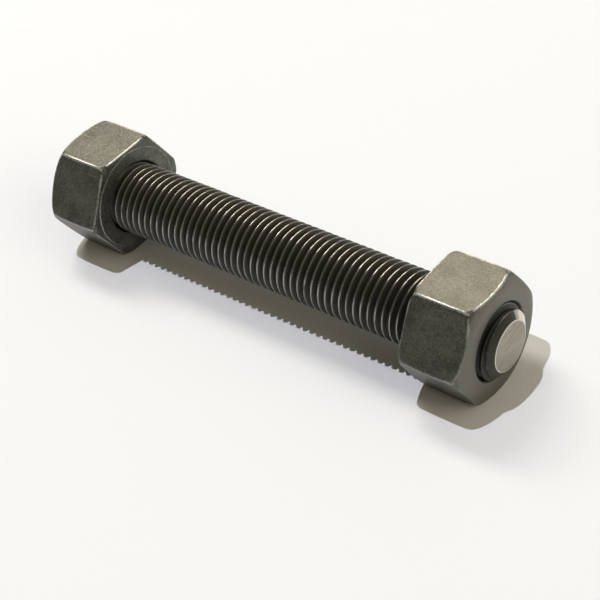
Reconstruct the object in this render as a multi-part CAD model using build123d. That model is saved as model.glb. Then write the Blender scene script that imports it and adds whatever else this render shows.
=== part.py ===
from build123d import *
import math
import os

# Double ended stud: a rod threaded from end to end, with a heavy hex nut run on near each end.
# Frame, in millimetres: +X along the rod, +Z up, origin on the rod's axis at mid length.
# The stud lies on one flat of each nut. The rod is its thread's crest cylinder, and the nuts'
# bores run on it, so each nut travels along the rod with the clearance named below.

# Rod: 1 1/8 inch, measured over the crests of its thread, which has 8 turns to the inch
MAJOR_DIAMETER = 28.5
ROD_LENGTH = 206.4
END_FLAT_DIAMETER = 19.6
END_CHAMFER_LENGTH = 3.4
END_EDGE_RADIUS = 0.6

# Heavy hex nut for that rod
ACROSS_FLATS = 44.6
NUT_THICKNESS = 26.5
CORNER_RADIUS = 0.9
CHAMFER_CIRCLE_DIAMETER = 42.0
CHAMFER_ANGLE = 30.0
WASHER_FACE_DIAMETER = 42.2
WASHER_FACE_HEIGHT = 0.4
COUNTERSINK_DIAMETER = 29.6
BORE_CLEARANCE = 0.08

# Where the nuts stand: the rod shows this far beyond each, and the rest of it lies between them
ROD_SHOWING = 4.2
GRIP_LENGTH = ROD_LENGTH - 2 * NUT_THICKNESS - 2 * ROD_SHOWING

MARGIN = 1.0


def rod():
    """The bar along X, coned to a flat point at each end, with the flat's edge rounded."""
    half = ROD_LENGTH / 2
    radius = MAJOR_DIAMETER / 2
    flat = END_FLAT_DIAMETER / 2
    shoulder = half - END_CHAMFER_LENGTH
    with BuildPart() as bar:
        with BuildSketch(Plane.XY):
            with BuildLine():
                Polyline(
                    (-half, 0), (-half, flat), (-shoulder, radius),
                    (shoulder, radius), (half, flat), (half, 0), close=True,
                )
            make_face()
        revolve(axis=Axis.X)
        points = bar.faces().filter_by(Axis.X)
        fillet(points.edges(), END_EDGE_RADIUS)
    return bar.part.solid()


def hex_nut():
    """A heavy hex nut: bearing face at x = 0, chamfered crown at x = NUT_THICKNESS."""
    with BuildPart() as nut:
        with BuildSketch(Plane.YZ):
            RegularPolygon(ACROSS_FLATS / 2, 6, major_radius=False)
        extrude(amount=NUT_THICKNESS)
        fillet(nut.edges().filter_by(Axis.X), CORNER_RADIUS)

        # turned outline: the washer face, then full width, then the crown's chamfer, which
        # leaves an arc at the end of each flat
        rim = ACROSS_FLATS / math.sqrt(3) + MARGIN
        washer = WASHER_FACE_DIAMETER / 2
        crown = CHAMFER_CIRCLE_DIAMETER / 2
        drop = (rim - crown) * math.tan(math.radians(CHAMFER_ANGLE))
        with BuildSketch(Plane.XY):
            with BuildLine():
                Polyline(
                    (0, 0), (0, washer), (WASHER_FACE_HEIGHT, washer), (WASHER_FACE_HEIGHT, rim),
                    (NUT_THICKNESS - drop, rim), (NUT_THICKNESS, crown), (NUT_THICKNESS, 0), close=True,
                )
            make_face()
        revolve(axis=Axis.X, mode=Mode.INTERSECT)

        # bore, countersunk at 45 degrees at both faces
        bore = MAJOR_DIAMETER / 2 + BORE_CLEARANCE
        sink = COUNTERSINK_DIAMETER / 2
        sink_depth = sink - bore
        beyond = NUT_THICKNESS + MARGIN
        with BuildSketch(Plane.XY):
            with BuildLine():
                Polyline(
                    (-MARGIN, 0), (-MARGIN, sink + MARGIN), (sink_depth, bore),
                    (NUT_THICKNESS - sink_depth, bore), (beyond, sink + MARGIN), (beyond, 0), close=True,
                )
            make_face()
        revolve(axis=Axis.X, mode=Mode.SUBTRACT)
    return nut.part.solid()


os.makedirs("parts", exist_ok=True)
nut = hex_nut()
pieces = {
    "threaded_rod": rod(),
    "right_nut": nut.moved(Location((GRIP_LENGTH / 2, 0, 0))),
    "left_nut": nut.rotate(Axis.Z, 180).moved(Location((-GRIP_LENGTH / 2, 0, 0))),
}
for name, piece in pieces.items():
    export_step(piece, f"parts/{name}.step")
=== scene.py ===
import math
from functools import partial

import bmesh
import bpy
import numpy as np
from mathutils import Matrix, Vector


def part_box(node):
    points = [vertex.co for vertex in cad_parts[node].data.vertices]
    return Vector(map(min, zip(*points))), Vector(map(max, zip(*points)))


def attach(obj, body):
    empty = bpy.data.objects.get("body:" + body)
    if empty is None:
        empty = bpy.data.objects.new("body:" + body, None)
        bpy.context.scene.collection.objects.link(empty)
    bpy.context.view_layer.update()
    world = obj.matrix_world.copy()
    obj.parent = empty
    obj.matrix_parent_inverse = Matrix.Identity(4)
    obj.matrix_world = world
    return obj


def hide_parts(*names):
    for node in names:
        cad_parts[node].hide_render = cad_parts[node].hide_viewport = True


# Double ended stud: a threaded rod with a heavy hex nut near each end, lying on the nuts' flats.
# Shapes are worked out in millimetres, in the frame of the solids: +X along the rod, +Z up.

MM = 0.001

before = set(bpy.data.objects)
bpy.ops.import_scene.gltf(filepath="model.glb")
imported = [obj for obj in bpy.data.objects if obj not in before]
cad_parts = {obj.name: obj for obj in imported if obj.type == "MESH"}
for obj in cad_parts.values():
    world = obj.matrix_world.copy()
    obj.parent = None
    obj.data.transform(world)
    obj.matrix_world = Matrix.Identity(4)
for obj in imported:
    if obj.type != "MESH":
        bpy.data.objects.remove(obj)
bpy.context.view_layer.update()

# Sizes of the solids
rod_high = np.array(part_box("threaded_rod")[1]) / MM
nut_low, nut_high = (np.array(corner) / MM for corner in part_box("right_nut"))
HALF_ROD = rod_high[0]
CREST_RADIUS = rod_high[2]
BEARING_PLACE = nut_low[0]
NUT_THICKNESS = nut_high[0] - nut_low[0]
HALF_FLATS = nut_high[2]

# Thread: 8 turns to the inch, 60 degrees, wound the way of a left-hand thread. THREAD_START is a
# crest's place along X on the +Y side. The rounding of its crests and roots is in millimetres.
PITCH = 3.175
HAND = -1
THREAD_START = 0.18
THREAD_DEPTH = 1.95
CREST_WIDTH = PITCH / 8
FLANK_TANGENT = math.tan(math.radians(30))
CREST_SOFTNESS = 0.09
ROOT_SOFTNESS = 0.45
MERGE_DISTANCE = 0.002

# Knocks on the rod's crests: one to so many columns of the grid, with the least and the greatest
# depth, on the part of the thread that lies nearest the crest. A fine ripple lies under them.
COLUMNS_PER_KNOCK = 55
KNOCK_DEPTHS = (0.02, 0.16)
KNOCKED_SHARE = 0.35
RIPPLE = 0.012

# The rod's pointed ends, as distance from the end and radius: the chamfer that cuts the thread,
# a turned groove, a narrow ring, and the cone to the flat
RING_PLACE = 2.1
RING_WIDTH = 0.6
CONE_LENGTH = 1.95
END_FLAT_RADIUS = 9.7
END_PROFILE = (
    (4.0, 14.6), (3.35, 13.6), (3.1, 13.35),
    (2.7, 12.1), (2.35, 12.05),
    (RING_PLACE, 12.7), (CONE_LENGTH, 12.72),
    (0.0, END_FLAT_RADIUS),
)
END_SEAM = 1.2
END_EDGE = 0.45
CENTRE_DOT_RADIUS = 0.45
CENTRE_DOT_DEPTH = 0.25

# Marks on the rod's points: 0 at the thread's root and 1 on its crest, then these. The cones carry a
# painted highlight, a near white patch on the side given by the Y and Z pair below.
DULL = 0.4
CREST = 1.0
FACED = 2.0
HIGHLIGHT_TOWARDS = (0.85, 0.53)
HIGHLIGHT_FROM = 0.72

# Nut: its corners are rounder near the ends, its crown is a 30 degree chamfer, and a shallow cone
# trims the corners on the bearing side
CORNER_RADIUS = 0.9
END_CORNER_RADIUS = 2.4
END_CORNER_REACH = 4.0
CROWN_RADIUS = 21.0
CHAMFER_TANGENT = math.tan(math.radians(30))
CROWN_SOFTNESS = 1.0
FOOT_RADIUS = 24.3
FOOT_SOFTNESS = 0.6
HEX_EDGE = 0.45
CORNER_EDGE = 1.7
CORNER_EDGE_SPREAD = math.radians(5)
WASHER_RADIUS = 21.1
WASHER_HEIGHT = 0.4
WASHER_EDGE = ((1.0, 0), (0.6, 0.05), (0.15, 0.12), (0, 0.3), (0, 0.6))
SINK_RADIUS = 14.8
SINK_LIP = 0.6
MINOR_RADIUS = 12.7
THREAD_CLEARANCE = 0.12

# Marks on a nut's points are distances to edges. UNWORN is beyond all wear, and the edge at the
# foot of a corner wears less, as if it lay FOOT_CORNER_GUARD further off. The crown's mark comes
# in over CROWN_FADE of height.
UNWORN = 9.0
FOOT_CORNER_GUARD = 0.3
CROWN_FADE = 0.3

# Grids. THREAD_ROWS are places across one pitch, from a root over the crest, closest at its edges.
ROD_COLUMNS = 96
SECTOR_COLUMNS = 40
SIDE_ROWS = 50
EDGE_ROWS = 7
THREAD_ROWS = (-0.5, -0.44, -0.37, -0.22, -0.1, -0.07, -0.045, 0.045, 0.07, 0.1, 0.22, 0.37, 0.44)

# Finishes, with the sizes of what each pattern draws. The grain of both and the scratches are
# finer on real steel, and are drawn as coarse as they need to be to show.
THREAD_CLOUD = 6.0
THREAD_GRAIN = 0.5
SAW_STREAK = 2.5
NUT_CLOUD = 7.0
NUT_SPECKLE = 0.9
NUT_GRAIN = 0.35
SCRATCH = 1.0
SPECK = 0.8
GRAIN_HEIGHT = 0.03

# Nodes take some sockets by number. Map Range: 0 value, 1 and 2 its range, 3 and 4 the range it
# is turned to, from 0 to 1 where they are left out. Mix: 0 factor, 6 and 7 colours, 2 the result.
SOFT = {"interpolation_type": "SMOOTHSTEP"}

# Stage: the sheet's half side and the height of the softboxes, in metres
FLOOR_HALF = 4.0
SOFTBOX_HEIGHT = 3.0


def soft_floor(value, least, softness):
    """The larger of value and least, with the corner between them rounded (a hyperbola)."""
    return (value + least + np.sqrt((value - least) ** 2 + softness**2)) / 2


def soft_ceiling(value, most, softness):
    """The smaller of value and most, with the corner between them rounded."""
    return -soft_floor(-value, -most, softness)


def thread_depth(offset):
    """Depth under the crest at an axial offset from the crest's middle line.

    The flank falls by 1 / tan(30) for each millimetre past the crest's edge, held between 0 and
    the thread's depth, both ends of the flank rounded.
    """
    from_crest = np.abs((offset / PITCH + 0.5) % 1 - 0.5) * PITCH
    flank = (from_crest - CREST_WIDTH / 2) / FLANK_TANGENT
    return soft_ceiling(soft_floor(flank, 0, CREST_SOFTNESS), THREAD_DEPTH, ROOT_SOFTNESS)


def helical_strip(angles, low, high, radius_at, knocks=None):
    """One band, a pitch wide, wound round the axis from low to high along X.

    Column m stands at the total angle t(m) = 2 pi turn + angles[m mod n], and row k at the offset
    u(k) across one pitch, so a point is at x = start + u + pitch * t / (2 pi), y = r cos t and
    z = hand r sin t. The last row of a column is sewn to the first row of the column one turn on.
    x is held between low and high, and r is radius_at(x, thread depth). knocks, from the number of
    columns, adds a depth to each column's crest.
    """
    across = PITCH * np.array(THREAD_ROWS)
    first_turn = math.floor(low / PITCH) - 1
    last_turn = math.ceil(high / PITCH) + 1
    columns = len(angles)
    turns = np.arange(first_turn, last_turn)
    total = (turns[:, None] + angles[None, :] / (2 * math.pi)).ravel()
    x = THREAD_START + across[:, None] + PITCH * total[None, :]
    angle = np.broadcast_to(2 * math.pi * total, x.shape)
    depth = thread_depth(across)[:, None] + np.zeros_like(x)
    if knocks is not None:
        near_crest = np.clip(1 - depth / (KNOCKED_SHARE * THREAD_DEPTH), 0, 1)
        depth = depth + near_crest * knocks(len(total))[None, :]
    x = np.clip(x, low, high)
    radius = radius_at(x, depth)
    points = np.stack([x, radius * np.cos(angle), HAND * radius * np.sin(angle)], -1)

    rows, length = x.shape
    index = np.arange(rows * length).reshape(rows, length)
    inner = np.stack([index[:-1, :-1], index[1:, :-1], index[1:, 1:], index[:-1, 1:]], -1)
    reach = length - columns
    seam = np.stack([
        index[-1, : reach - 1], index[0, columns : length - 1],
        index[0, columns + 1 :], index[-1, 1:reach],
    ], -1)
    faces = np.concatenate([inner.reshape(-1, 4), seam])
    return points.reshape(-1, 3), faces, depth.ravel()


def rings(x, radius, angles):
    """A surface of rings: row i has its own x and radius, which may change round the ring."""
    rows = len(x)
    columns = len(angles)
    x = np.broadcast_to(x, (rows, columns))
    radius = np.broadcast_to(radius, (rows, columns))
    points = np.stack([x, radius * np.cos(angles), radius * np.sin(angles)], -1).reshape(-1, 3)
    index = np.arange(rows * columns).reshape(rows, columns)
    after = np.roll(index, -1, axis=1)
    faces = np.stack([index[:-1], index[1:], after[1:], after[:-1]], -1).reshape(-1, 4)
    return points, faces


def rounded(start, corner, end, steps):
    """Points from start to end on the curve that leaves and arrives along the lines to corner.

    The curve is (1 - s)^2 start + 2 s (1 - s) corner + s^2 end.
    """
    s = np.linspace(0, 1, steps)
    return [(1 - k) ** 2 * start + 2 * k * (1 - k) * corner + k**2 * end for k in s]


def solid_piece(name, patches, marks):
    """One closed mesh object from patches of (points, faces), in millimetres.

    Points that fall together are merged, which sews the patches and closes the poles. marks are
    the values kept on the points for the finish, under their names.
    """
    starts = np.cumsum([0] + [len(points) for points, _ in patches])
    points = np.concatenate([points for points, _ in patches]) * MM
    faces = np.concatenate([faces + start for (_, faces), start in zip(patches, starts)])
    mesh = bpy.data.meshes.new(name)
    mesh.from_pydata(points.tolist(), [], faces.tolist())
    for label, values in marks.items():
        kept = mesh.attributes.new(label, "FLOAT", "POINT")
        kept.data.foreach_set("value", values.astype(np.float32))
    shell = bmesh.new()
    shell.from_mesh(mesh)
    bmesh.ops.remove_doubles(shell, verts=shell.verts, dist=MERGE_DISTANCE * MM)
    bmesh.ops.recalc_face_normals(shell, faces=shell.faces)
    shell.to_mesh(mesh)
    shell.free()
    mesh.shade_smooth()
    piece = bpy.data.objects.new(name, mesh)
    bpy.context.scene.collection.objects.link(piece)
    return piece


def crest_knocks(count):
    """Depth of the small knocks in each column's crest.

    A knock at a seeded place is spread over five columns, and the product of two sines lies under
    them all, raised so that it only cuts.
    """
    draw = np.random.default_rng(8)
    knocks = np.zeros(count)
    places = draw.integers(0, count, count // COLUMNS_PER_KNOCK)
    knocks[places] = draw.uniform(*KNOCK_DEPTHS, len(places))
    spread = np.array([0.25, 0.7, 1.0, 0.7, 0.25])
    column = np.arange(count)
    ripple = RIPPLE * np.sin(column * 0.37) * np.sin(column * 0.053)
    return np.convolve(knocks, spread, "same") + ripple + RIPPLE


def end_radius(x):
    """Radius that the pointed ends leave at x: straight lines through the end profile."""
    reach, radius = zip(*sorted(END_PROFILE))
    return np.interp(HALF_ROD - np.abs(x), reach, radius, right=CREST_RADIUS + 1)


def painted_highlight_side(points):
    """Mark of the cones: dull, rising by 1 towards the side that carries a painted highlight.

    The rise follows the cosine of the angle from that side, from the set threshold up to 1.
    """
    y, z = points[:, 1], points[:, 2]
    cosine = (HIGHLIGHT_TOWARDS[0] * y + HIGHLIGHT_TOWARDS[1] * z) / (np.hypot(y, z) + 1e-9)
    return DULL + np.clip((cosine - HIGHLIGHT_FROM) / (1 - HIGHLIGHT_FROM), 0, 1)


def rod_piece():
    """The threaded rod: the helical strip, trimmed by the pointed ends, and a turned cap each end.

    The cap carries the cone on to the flat over a rounded edge, and the flat dips at the centre.
    The mark "height" is the thread's height, and where the end profile cuts the thread it is that
    of the ring, of the cone with its painted highlight on one side, or of dull steel. The flat is
    marked as faced.
    """
    def radius_at(x, depth):
        """The thread's radius or the end profile's, whichever is less."""
        return np.minimum(CREST_RADIUS - depth, end_radius(x))

    angles = np.arange(ROD_COLUMNS) * 2 * math.pi / ROD_COLUMNS
    seam = HALF_ROD - END_SEAM
    points, faces, depth = helical_strip(angles, -seam, seam, radius_at, crest_knocks)
    cut = CREST_RADIUS - depth > np.hypot(points[:, 1], points[:, 2]) + 1e-6
    from_end = HALF_ROD - np.abs(points[:, 0])
    on_cone = from_end < CONE_LENGTH
    on_ring = np.abs(from_end - RING_PLACE) < RING_WIDTH / 2
    # on the cones the mark rises towards the side with the painted highlight
    trimmed = np.where(on_ring, CREST, np.where(on_cone, painted_highlight_side(points), DULL))
    height = np.where(cut, trimmed, 1 - depth / THREAD_DEPTH)

    # the flat's rounded edge takes END_EDGE of the flat and about half as much along the rod
    edge_start = HALF_ROD - END_EDGE * 0.55
    outline = [np.array([x, end_radius(x)]) for x in np.linspace(seam, edge_start, 4)[:-1]]
    outline += rounded(
        np.array([edge_start, end_radius(edge_start)]),
        np.array([HALF_ROD, END_FLAT_RADIUS]),
        np.array([HALF_ROD, END_FLAT_RADIUS - END_EDGE]), 6,
    )
    for share in (0.93, 0.8, 0.6, 0.4, 0.2, 0.1):
        outline.append(np.array([HALF_ROD, share * END_FLAT_RADIUS]))
    for share in (1.3, 1.0, 0.5, 0.0):
        dip = CENTRE_DOT_DEPTH * np.clip(1 - share, 0, 1)
        outline.append(np.array([HALF_ROD - dip, share * CENTRE_DOT_RADIUS]))
    outline = np.array(outline)
    edge_radii = (END_FLAT_RADIUS - END_EDGE, end_radius(edge_start) + 0.1)
    # from the flat over its rounded edge the mark falls from faced to dull, passing through the range
    # painted near white on the cones, so a thin painted highlight line runs round the edge
    polish = np.interp(outline[:, 1], edge_radii, (FACED, DULL))
    patches = [(points, faces)]
    marks = [height]
    for end in (-1, 1):
        cap = rings(end * outline[:, :1], outline[:, 1:], angles)
        patches.append(cap)
        # the cap's cone carries the same painted highlight
        marks.append(np.maximum(np.repeat(polish, len(angles)), painted_highlight_side(cap[0])))
    return solid_piece("rod", patches, {"height": np.concatenate(marks)})


def hex_angles():
    """Angles round the nut, closest at its corners: each sector's half runs as 30 s^1.8 degrees."""
    step = np.arange(-SECTOR_COLUMNS // 2, SECTOR_COLUMNS // 2) / (SECTOR_COLUMNS / 2)
    sector = np.sign(step) * np.abs(step) ** 1.8 * math.radians(30)
    return (np.arange(6)[:, None] * math.pi / 3 + sector[None, :]).ravel()


def hex_radius(angles, corner):
    """Distance from the axis to the hexagon with rounded corners, and the angle from a corner.

    Away from a corner it is apothem / cos(30 degrees - |a|). Within the corner's arc it is
    c cos a + sqrt(r^2 - c^2 sin^2 a), where c is the distance of the arc's centre.
    """
    third = math.pi / 3
    turn = (angles + third / 2) % third - third / 2
    flat = HALF_FLATS / np.cos(third / 2 - np.abs(turn))
    centre = (HALF_FLATS - corner) / math.cos(third / 2)
    reach = math.atan2(corner / 2, centre + corner * math.cos(third / 2))
    under = np.maximum(corner**2 - (centre * np.sin(turn)) ** 2, 0)
    arc = centre * np.cos(turn) + np.sqrt(under)
    return np.where(np.abs(turn) < reach, arc, flat), turn


def crown_height(radius):
    """Height of the crown at a radius: level, then a 30 degree chamfer with a soft start."""
    beyond = soft_floor(radius - CROWN_RADIUS, 0, CROWN_SOFTNESS)
    return NUT_THICKNESS - CHAMFER_TANGENT * beyond


def foot_height(radius):
    """Height of the bearing side at a radius, outside the washer face: level, then a 30 degree
    cone that reaches only the corners."""
    beyond = soft_floor(radius - FOOT_RADIUS, 0, FOOT_SOFTNESS)
    return WASHER_HEIGHT + CHAMFER_TANGENT * beyond


def crown_shoulder(hexagon, reach):
    """Radius at which the crown's chamfer begins to round over to the sides."""
    return hexagon - reach * math.cos(math.radians(30))


def nut_outline(angles, hexagon, reach):
    """The nut's outside as rows of (height, radius) round the angles, from bore to bore.

    It goes over the crown and its chamfer, which meets each flat in an arc, down the sides, whose
    corners are rounder near the ends, round the foot, and over the washer face. hexagon is the
    sides' radius at the ends, and reach is how far the rounding of an edge goes.
    """
    nothing = np.zeros_like(hexagon)
    lip = SINK_RADIUS + SINK_LIP
    outline = [
        (nothing + NUT_THICKNESS - SINK_LIP, nothing + SINK_RADIUS),
        (crown_height(nothing + lip), nothing + lip),
    ]
    shoulder = crown_shoulder(hexagon, reach)
    for share in (0.06, 0.25, 0.45, 0.65, 0.8, 0.92, 0.97):
        radius = lip + share * (shoulder - lip)
        outline.append((crown_height(radius), radius))
    top_edge = crown_height(hexagon)
    top = top_edge - reach
    outline += [tuple(point) for point in rounded(
        np.array([crown_height(shoulder), shoulder]),
        np.array([top_edge, hexagon]),
        np.array([top, hexagon]), EDGE_ROWS,
    )]
    foot_edge = foot_height(hexagon)
    bottom = foot_edge + reach
    for share in np.concatenate([[0.008], np.linspace(0.02, 0.98, SIDE_ROWS), [0.992]]):
        from_end = min(share, 1 - share) * NUT_THICKNESS / END_CORNER_REACH
        softened = (END_CORNER_RADIUS - CORNER_RADIUS) * math.exp(-from_end**2)
        side = hex_radius(angles, CORNER_RADIUS + softened)[0]
        outline.append((top + share * (bottom - top), side))
    foot = hexagon - reach
    outline += [tuple(point) for point in rounded(
        np.array([bottom, hexagon]),
        np.array([foot_edge, hexagon]),
        np.array([foot_height(foot), foot]), EDGE_ROWS,
    )]
    for share in (0.3, 0.7, 0.95):
        radius = foot + share * (WASHER_RADIUS - foot)
        outline.append((foot_height(radius), radius))
    for share, inset in WASHER_EDGE:
        outline.append((nothing + share * WASHER_HEIGHT, nothing + WASHER_RADIUS - inset))
    face_radius = WASHER_RADIUS - WASHER_EDGE[-1][1]
    for share in (0.25, 0.5, 0.75, 0.95):
        outline.append((nothing, face_radius - share * (face_radius - lip) + nothing))
    outline += [(nothing, nothing + lip), (nothing + SINK_LIP, nothing + SINK_RADIUS)]
    return np.array([row[0] for row in outline]), np.array([row[1] for row in outline])


def nut_marks(height, radius, hexagon, turn, reach):
    """Marks of the nut's outside: the distance to the nearest hexagon edge and to the nearest
    turned edge, in millimetres, and 1 on the crown."""
    top_edge = crown_height(hexagon)
    foot_edge = foot_height(hexagon)
    on_side = (height < top_edge) & (height > foot_edge) & (radius > WASHER_RADIUS + 0.5)
    crown_distance = np.hypot(height - top_edge, radius - hexagon)
    guard = FOOT_CORNER_GUARD * np.exp(-((turn / CORNER_EDGE_SPREAD) ** 2))
    foot_distance = np.hypot(height - foot_edge, radius - hexagon) + guard
    corner_distance = np.where(on_side, np.abs(hexagon * np.sin(turn)), UNWORN)
    hex_edge = np.minimum(np.minimum(crown_distance, foot_distance), corner_distance)
    washer_distance = np.hypot(height, radius - WASHER_RADIUS)
    sink_distance = np.minimum(
        np.hypot(height, radius - SINK_RADIUS),
        np.hypot(height - NUT_THICKNESS, radius - SINK_RADIUS),
    )
    turned_edge = np.minimum(washer_distance, sink_distance)
    within_edge = radius < crown_shoulder(hexagon, reach) + 0.01
    crown = np.clip((height - top_edge) / CROWN_FADE, 0, 1) * within_edge
    return hex_edge, turned_edge, crown


def nut_piece(name, facing):
    """A heavy hex nut whose crown points to facing (+1 or -1) along X.

    The outside is rings whose x and radius follow the hexagon. Each of its edges is rounded, more
    at the corners: reach(a) = edge + corner e^-(a / spread)^2. The bore is the helical strip,
    widened by a 45 degree countersink at each face and marked as inside.
    """
    angles = hex_angles()
    hexagon, turn = hex_radius(angles, END_CORNER_RADIUS)
    reach = HEX_EDGE + CORNER_EDGE * np.exp(-((turn / CORNER_EDGE_SPREAD) ** 2))
    height, radius = nut_outline(angles, hexagon, reach)
    outside = rings(facing * (BEARING_PLACE + height), radius, angles)

    low, high = sorted((
        facing * (BEARING_PLACE + SINK_LIP),
        facing * (BEARING_PLACE + NUT_THICKNESS - SINK_LIP),
    ))

    def radius_at(x, depth):
        """The thread's radius with its clearance, or the countersink's, whichever is more."""
        thread = np.maximum(CREST_RADIUS - depth + THREAD_CLEARANCE, MINOR_RADIUS)
        from_face = np.minimum(x - low, high - x)
        return np.maximum(thread, SINK_RADIUS - from_face)

    bore, bore_faces, _ = helical_strip(angles, low, high, radius_at)

    hex_edge, turned_edge, crown = nut_marks(height, radius, hexagon, turn, reach)
    unworn = np.full(len(bore), UNWORN)
    marks = {
        "hex_edge": np.concatenate([hex_edge.ravel(), unworn]),
        "turned_edge": np.concatenate([turned_edge.ravel(), unworn]),
        "crown": np.concatenate([crown.ravel(), np.zeros(len(bore))]),
        "inside": np.concatenate([np.zeros(hex_edge.size), np.ones(len(bore))]),
    }
    return solid_piece(name, [outside, (bore, bore_faces)], marks)


def linear(code):
    """An sRGB hex colour as linear RGBA."""
    parts = [int(code[i : i + 2], 16) / 255 for i in (1, 3, 5)]
    return [p / 12.92 if p <= 0.04045 else ((p + 0.055) / 1.055) ** 2.4 for p in parts] + [1]


def add_node(tree, kind, inputs=None, **settings):
    """Adds one node with its settings. Among its inputs, a node stands for its first output, an
    output is linked, and a plain value is set on the socket itself."""
    node = tree.nodes.new("ShaderNode" + kind)
    for key, value in settings.items():
        setattr(node, key, value)
    for key, value in (inputs or {}).items():
        if isinstance(value, bpy.types.Node):
            value = value.outputs[0]
        if isinstance(value, bpy.types.NodeSocket):
            tree.links.new(value, node.inputs[key])
        else:
            node.inputs[key].default_value = value
    return node


def new_finish(name):
    """A material with an empty tree, and add_node for that tree."""
    material = bpy.data.materials.new(name)
    material.use_nodes = True
    material.node_tree.nodes.clear()
    return material, partial(add_node, material.node_tree)


def black_oxide_thread():
    """Rolled thread of alloy steel under black oxide.

    The flanks are oily black and dull. The crests are burnished to bare grey steel where nuts and
    hands have worn them, with a painted highlight that makes them brighter on top and dimmer
    underneath. The cones of the points are turned, with a painted highlight in near white on one
    side, and the end faces are sawn and faced, which leaves a satin grey with faint streaks.
    """
    material, add = new_finish("black_oxide_thread")
    place = add("TexCoord").outputs["Object"]
    z = add("SeparateXYZ", {0: place}).outputs["Z"]
    height = add("Attribute", attribute_name="height").outputs["Fac"]
    cloud = add("TexNoise", {0: place, "Scale": 1 / (THREAD_CLOUD * MM), "Detail": 3, "Roughness": 0.55})
    grain = add("TexNoise", {0: place, "Scale": 1 / (THREAD_GRAIN * MM), "Detail": 2, "Roughness": 0.55})
    sawn = add("Mapping", {0: place, "Rotation": (-0.2, 0, 0), "Scale": (1, 0.35, 1.6)})
    streaks = add("TexNoise", {0: sawn, "Scale": 1 / (SAW_STREAK * MM), "Detail": 4, "Roughness": 0.55})

    # how bare the steel is along the crests and on the faced ends, with painted highlights: the crests
    # brighter on top, and a near white side on each cone
    cloud_level = add("Math", {0: cloud, 1: 0.5}, operation="SUBTRACT")
    uneven = add("Math", {0: cloud_level, 1: 0.3}, operation="MULTIPLY")
    uneven_height = add("Math", {0: height, 1: uneven}, operation="ADD")
    crest = add("MapRange", {0: uneven_height, 1: 0.84, 2: 1.0}, **SOFT)
    threaded = add("MapRange", {0: height, 1: 1.3, 2: 1.1}, **SOFT)
    crest_only = add("Math", {0: crest, 1: threaded}, operation="MULTIPLY")
    # painted highlight and shade: the crests' wear shows at full colour on top and at 0.45 underneath
    crest_top_highlight = add("MapRange", {0: z, 1: -10 * MM, 2: 12 * MM, 3: 0.45, 4: 1.0}, **SOFT)
    crest_wear_and_highlight = add("Math", {0: crest_only, 1: crest_top_highlight}, operation="MULTIPLY")
    # painted highlight: the side of each cone marked above 1.1
    cone_highlight = add("MapRange", {0: height, 1: 1.1, 2: 1.3}, **SOFT)
    faced = add("MapRange", {0: height, 1: 1.55, 2: 1.9}, **SOFT)
    bare = add("Math", {0: crest_wear_and_highlight, 1: cone_highlight}, operation="MAXIMUM")

    # colours from the root outwards, each laid over the last
    up_flank = add("MapRange", {0: height, 1: 0.1, 2: 0.9}, **SOFT)
    colour = add("Mix", {0: up_flank, 6: linear("#2d2b26"), 7: linear("#403e38")}, data_type="RGBA")
    # crest wear, painted brighter on top as a highlight
    colour = add("Mix", {0: crest_wear_and_highlight, 6: colour.outputs[2], 7: linear("#9d9b94")}, data_type="RGBA")
    # painted highlight, near white, on one side of each cone
    colour = add("Mix", {0: cone_highlight, 6: colour.outputs[2], 7: linear("#d6d2c6")}, data_type="RGBA")
    streak = add("MapRange", {0: streaks, 1: 0.35, 2: 0.65}, **SOFT)
    face = add("Mix", {0: streak, 6: linear("#85816f"), 7: linear("#948f81")}, data_type="RGBA")
    colour = add("Mix", {0: faced, 6: colour.outputs[2], 7: face.outputs[2]}, data_type="RGBA")

    metal = add("MapRange", {0: bare, 1: 0.0, 2: 1.0, 3: 0.5, 4: 0.95}, **SOFT)
    oiled = add("MapRange", {0: grain, 1: 0.3, 2: 0.7, 3: 0.4, 4: 0.52}, **SOFT)
    smoother = add("Math", {0: bare, 1: 0.26}, operation="MULTIPLY")
    rough = add("Math", {0: oiled, 1: smoother}, operation="SUBTRACT")
    bump = add("Bump", {"Strength": 0.12, "Distance": GRAIN_HEIGHT * MM, "Height": grain})
    shader = add("BsdfPrincipled", {
        "Base Color": colour.outputs[2], "Metallic": metal, "Roughness": rough, "Normal": bump,
    })
    add("OutputMaterial", {"Surface": shader})
    return material


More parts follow.
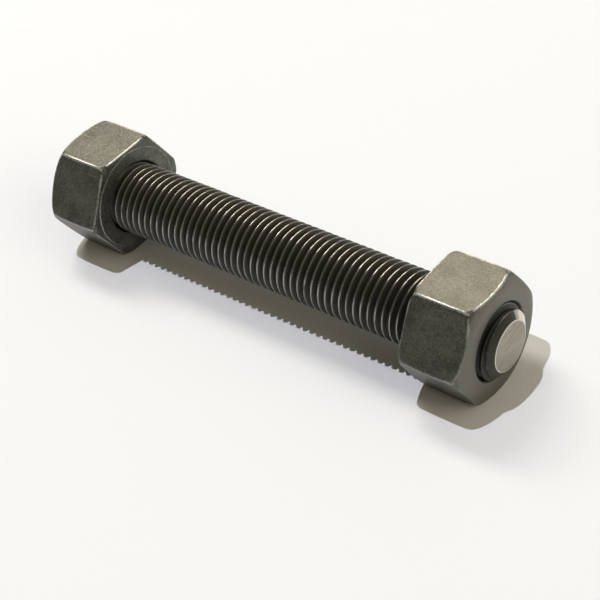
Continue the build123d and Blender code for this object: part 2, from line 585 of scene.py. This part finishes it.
def black_oxide_nut(name, wear, scratches):
    """Forged steel under black oxide: satin grey-black and clouded.

    Handling has worn the edges to bare steel and scuffed the flats, and both are painted stronger on the
    upper sides as a painted highlight.
    The turned rims show a thin bright line, and the threaded bore stays oily black. wear widens
    the bright edges, and scratches brightens the scuffs and specks.
    """
    material, add = new_finish(name)
    place = add("TexCoord").outputs["Object"]
    z = add("SeparateXYZ", {0: place}).outputs["Z"]
    hex_edge = add("Attribute", attribute_name="hex_edge").outputs["Fac"]
    turned_edge = add("Attribute", attribute_name="turned_edge").outputs["Fac"]
    crown = add("Attribute", attribute_name="crown").outputs["Fac"]
    inside = add("Attribute", attribute_name="inside").outputs["Fac"]
    cloud = add("TexNoise", {0: place, "Scale": 1 / (NUT_CLOUD * MM), "Detail": 4, "Roughness": 0.55})
    speckle = add("TexNoise", {0: place, "Scale": 1 / (NUT_SPECKLE * MM), "Detail": 4, "Roughness": 0.7})
    grain = add("TexNoise", {0: place, "Scale": 1 / (NUT_GRAIN * MM), "Detail": 2, "Roughness": 0.55})

    # edges worn bare, with a ragged limit, and a thin line along the turned rims
    speckle_level = add("Math", {0: speckle, 1: 0.5}, operation="SUBTRACT")
    ragged = add("Math", {0: speckle_level, 1: 1.3}, operation="MULTIPLY")
    # painted highlight: wear and scuffs at full strength above 21 mm, falling to wear - 0.8 below 12 mm
    upper_wear_and_highlight = add("MapRange", {0: z, 1: 12 * MM, 2: 21 * MM, 3: wear - 0.8, 4: 1.0}, **SOFT)
    from_edge = add("Math", {0: hex_edge, 1: ragged}, operation="SUBTRACT")
    near_edge = add("MapRange", {0: from_edge, 1: 0.7 * wear, 2: 0.2 * wear}, **SOFT)
    edge = add("Math", {0: upper_wear_and_highlight, 1: near_edge}, operation="MULTIPLY")
    from_rim = add("Math", {0: turned_edge, 1: ragged}, operation="SUBTRACT")
    rim = add("MapRange", {0: from_rim, 1: 0.5, 2: 0.1, 3: 0.0, 4: 0.35}, **SOFT)
    worn = add("Math", {0: edge, 1: rim}, operation="MAXIMUM")

    # scratches in two directions, and specks
    one_way = add("Mapping", {0: place, "Rotation": (0.2, 0.1, 0.7), "Scale": (0.12, 3.2, 0.12)})
    other_way = add("Mapping", {0: place, "Rotation": (0.1, 0.3, -0.5), "Scale": (2.6, 0.14, 0.2)})
    first = add("TexNoise", {0: one_way, "Scale": 1 / (SCRATCH * MM), "Detail": 2, "Roughness": 0.55})
    second = add("TexNoise", {0: other_way, "Scale": 1 / (SCRATCH * MM), "Detail": 2, "Roughness": 0.55})
    spots = add("TexNoise", {0: place, "Scale": 1 / (SPECK * MM), "Detail": 1, "Roughness": 0.55})
    both = add("Math", {0: first, 1: second}, operation="MAXIMUM")
    lines = add("MapRange", {0: both, 1: 0.66, 2: 0.78, 3: 0.0, 4: scratches}, **SOFT)
    specks = add("MapRange", {0: spots, 1: 0.66, 2: 0.74, 3: 0.0, 4: 0.7 * scratches}, **SOFT)
    scuffs = add("Math", {0: lines, 1: specks}, operation="MAXIMUM")
    # painted highlight: the scuffs too are stronger on the upper sides
    scuffed = add("Math", {0: upper_wear_and_highlight, 1: scuffs}, operation="MULTIPLY")
    marked = add("Math", {0: worn, 1: scuffed}, operation="MAXIMUM")

    # the oxide's own tone, then the marks, painted brighter on the upper sides as a highlight, and the
    # oily bore over it
    clouded = add("Math", {0: cloud, 1: 0.35}, operation="MULTIPLY")
    speckled = add("Math", {0: speckle, 1: 0.65}, operation="MULTIPLY")
    tone = add("Math", {0: clouded, 1: speckled}, operation="ADD")
    pale = add("MapRange", {0: tone, 1: 0.38, 2: 0.64}, **SOFT)
    colour = add("Mix", {0: pale, 6: linear("#51514c"), 7: linear("#73726b")}, data_type="RGBA")
    colour = add("Mix", {0: crown, 6: colour.outputs[2], 7: linear("#74736a")}, data_type="RGBA")
    colour = add("Mix", {0: marked, 6: colour.outputs[2], 7: linear("#c9cbc8")}, data_type="RGBA")
    colour = add("Mix", {0: inside, 6: colour.outputs[2], 7: linear("#26241f")}, data_type="RGBA")

    satin = add("MapRange", {0: tone, 1: 0.3, 2: 0.7, 3: 0.42, 4: 0.56}, **SOFT)
    smoother = add("Math", {0: marked, 1: 0.12}, operation="MULTIPLY")
    rough = add("Math", {0: satin, 1: smoother}, operation="SUBTRACT")
    bump = add("Bump", {"Strength": 0.3, "Distance": GRAIN_HEIGHT * MM, "Height": grain})
    shader = add("BsdfPrincipled", {
        "Base Color": colour.outputs[2], "Metallic": 0.85, "Roughness": rough, "Normal": bump,
    })
    add("OutputMaterial", {"Surface": shader})
    return material


def white_paper():
    """Uncoated white paper: matt, with no shine at all."""
    material, add = new_finish("white_paper")
    shader = add("BsdfPrincipled", {
        "Base Color": linear("#ebedee"), "Roughness": 0.9, "Specular IOR Level": 0.0,
    })
    add("OutputMaterial", {"Surface": shader})
    return material


def dress(piece, material, node, body):
    """Gives a piece its finish and its place in the assembly."""
    piece.data.materials.append(material)
    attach(piece, body)
    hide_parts(node)


dress(rod_piece(), black_oxide_thread(), "threaded_rod", "rod")
for name, facing, finish in (
    ("left", -1, black_oxide_nut("black_oxide_nut_worn", wear=1.15, scratches=0.5)),
    ("right", 1, black_oxide_nut("black_oxide_nut", wear=1.0, scratches=0.2)),
):
    dress(nut_piece(f"nut_{name}", facing), finish, f"{name}_nut", f"{name}_nut_body")


# Stage, in metres


def floor():
    """A flat sheet of white paper under the nuts' lower flats."""
    ground = -HALF_FLATS * MM
    corners = [(FLOOR_HALF * x, FLOOR_HALF * y, ground) for x, y in ((-1, -1), (1, -1), (1, 1), (-1, 1))]
    mesh = bpy.data.meshes.new("floor")
    mesh.from_pydata(corners, [], [(0, 1, 2, 3)])
    sheet = bpy.data.objects.new("floor", mesh)
    bpy.context.scene.collection.objects.link(sheet)
    mesh.materials.append(white_paper())


def aim(holder, place, target=(0, 0, 0), roll=0.0):
    """Puts a lamp or camera at place, in metres, looking at target and rolled about that line."""
    place, target = np.array(place, float), np.array(target, float)
    back = (place - target) / np.linalg.norm(place - target)
    level = np.cross((0, 0, 1), back)
    level = level / np.linalg.norm(level)
    above = np.cross(back, level)
    side = math.cos(roll) * level - math.sin(roll) * above
    up = math.sin(roll) * level + math.cos(roll) * above
    matrix = np.eye(4)
    matrix[:3] = np.stack([side, up, back, place], -1)
    holder.matrix_world = Matrix(matrix.tolist())


def lamp(name, kind, place, colour, energy, **settings):
    """One lamp of the studio."""
    data = bpy.data.lights.new(name, kind)
    data.color = linear(colour)[:3]
    data.energy = energy
    for key, value in settings.items():
        setattr(data, key, value)
    holder = bpy.data.objects.new(name, data)
    bpy.context.scene.collection.objects.link(holder)
    aim(holder, place)
    return holder


def softbox(name, colour, energy, middle, length, width):
    """A level rectangle of light overhead. Its middle and sides are given for a height of one."""
    across, along = (SOFTBOX_HEIGHT * step for step in middle)
    holder = lamp(
        name, "AREA", (across, along, SOFTBOX_HEIGHT), colour, energy,
        shape="RECTANGLE", size=SOFTBOX_HEIGHT * length, size_y=SOFTBOX_HEIGHT * width,
    )
    holder.matrix_world = Matrix.Translation((across, along, SOFTBOX_HEIGHT))
    return holder


def studio():
    """The lamps.

    A small lamp nearly overhead draws the crisp shadow, and a softbox high on the left runs along
    the thread's crests. A larger one behind it is there only for the upper flats to mirror. A
    broad fill from the right softens the shadow. Neither the overhead lamp nor the fill shows in
    the metal.
    """
    overhead = lamp("overhead", "SUN", (-0.18, -0.10, 1.0), "#f3f3ff", 1.72, angle=math.radians(1))
    overhead.visible_glossy = False
    softbox("softbox", "#fffaf0", 76, (-0.75, 0.36), 0.8, 0.34)
    back = softbox("back_softbox", "#fff1d6", 122, (-0.5, 0.98), 0.8, 0.8)
    back.visible_diffuse = False
    fill = lamp("fill", "SUN", (1.7, 0.0, 1.0), "#ffefd4", 0.9, angle=math.radians(50))
    fill.visible_glossy = False


def surround():
    """A surround that is pale behind the stud and dim in front of it: 0.45 X + 0.8 Y, ramped."""
    world = bpy.data.worlds.new("surround")
    bpy.context.scene.world = world
    world.use_nodes = True
    world.node_tree.nodes.clear()
    add = partial(add_node, world.node_tree)
    direction = add("SeparateXYZ", {0: add("TexCoord").outputs["Generated"]})
    across = add("Math", {0: direction.outputs["X"], 1: 0.45}, operation="MULTIPLY")
    along = add("Math", {0: direction.outputs["Y"], 1: 0.8}, operation="MULTIPLY")
    far = add("Math", {0: across, 1: along}, operation="ADD")
    behind = add("MapRange", {0: far, 1: -0.2, 2: 0.6}, **SOFT)
    colour = add("Mix", {0: behind, 6: linear("#5b5644"), 7: linear("#b5b1a5")}, data_type="RGBA")
    background = add("Background", {"Color": colour.outputs[2], "Strength": 1.0})
    add("OutputWorld", {"Surface": background})


def camera():
    """A long lens above the near end, rolled a little."""
    azimuth, elevation, roll = (math.radians(a) for a in (45.22, 41.42, 11.0))
    distance = 0.5931
    target = np.array([0.0072, 0, -0.0211])
    back = np.array([
        math.sin(azimuth) * math.cos(elevation),
        -math.cos(azimuth) * math.cos(elevation),
        math.sin(elevation),
    ])
    data = bpy.data.cameras.new("camera")
    data.lens = 92.8
    data.sensor_width = 36
    holder = bpy.data.objects.new("camera", data)
    bpy.context.scene.collection.objects.link(holder)
    aim(holder, target + back * distance, target, roll)
    bpy.context.scene.camera = holder


floor()
studio()
surround()
camera()
bpy.context.scene.view_settings.view_transform = "Standard"
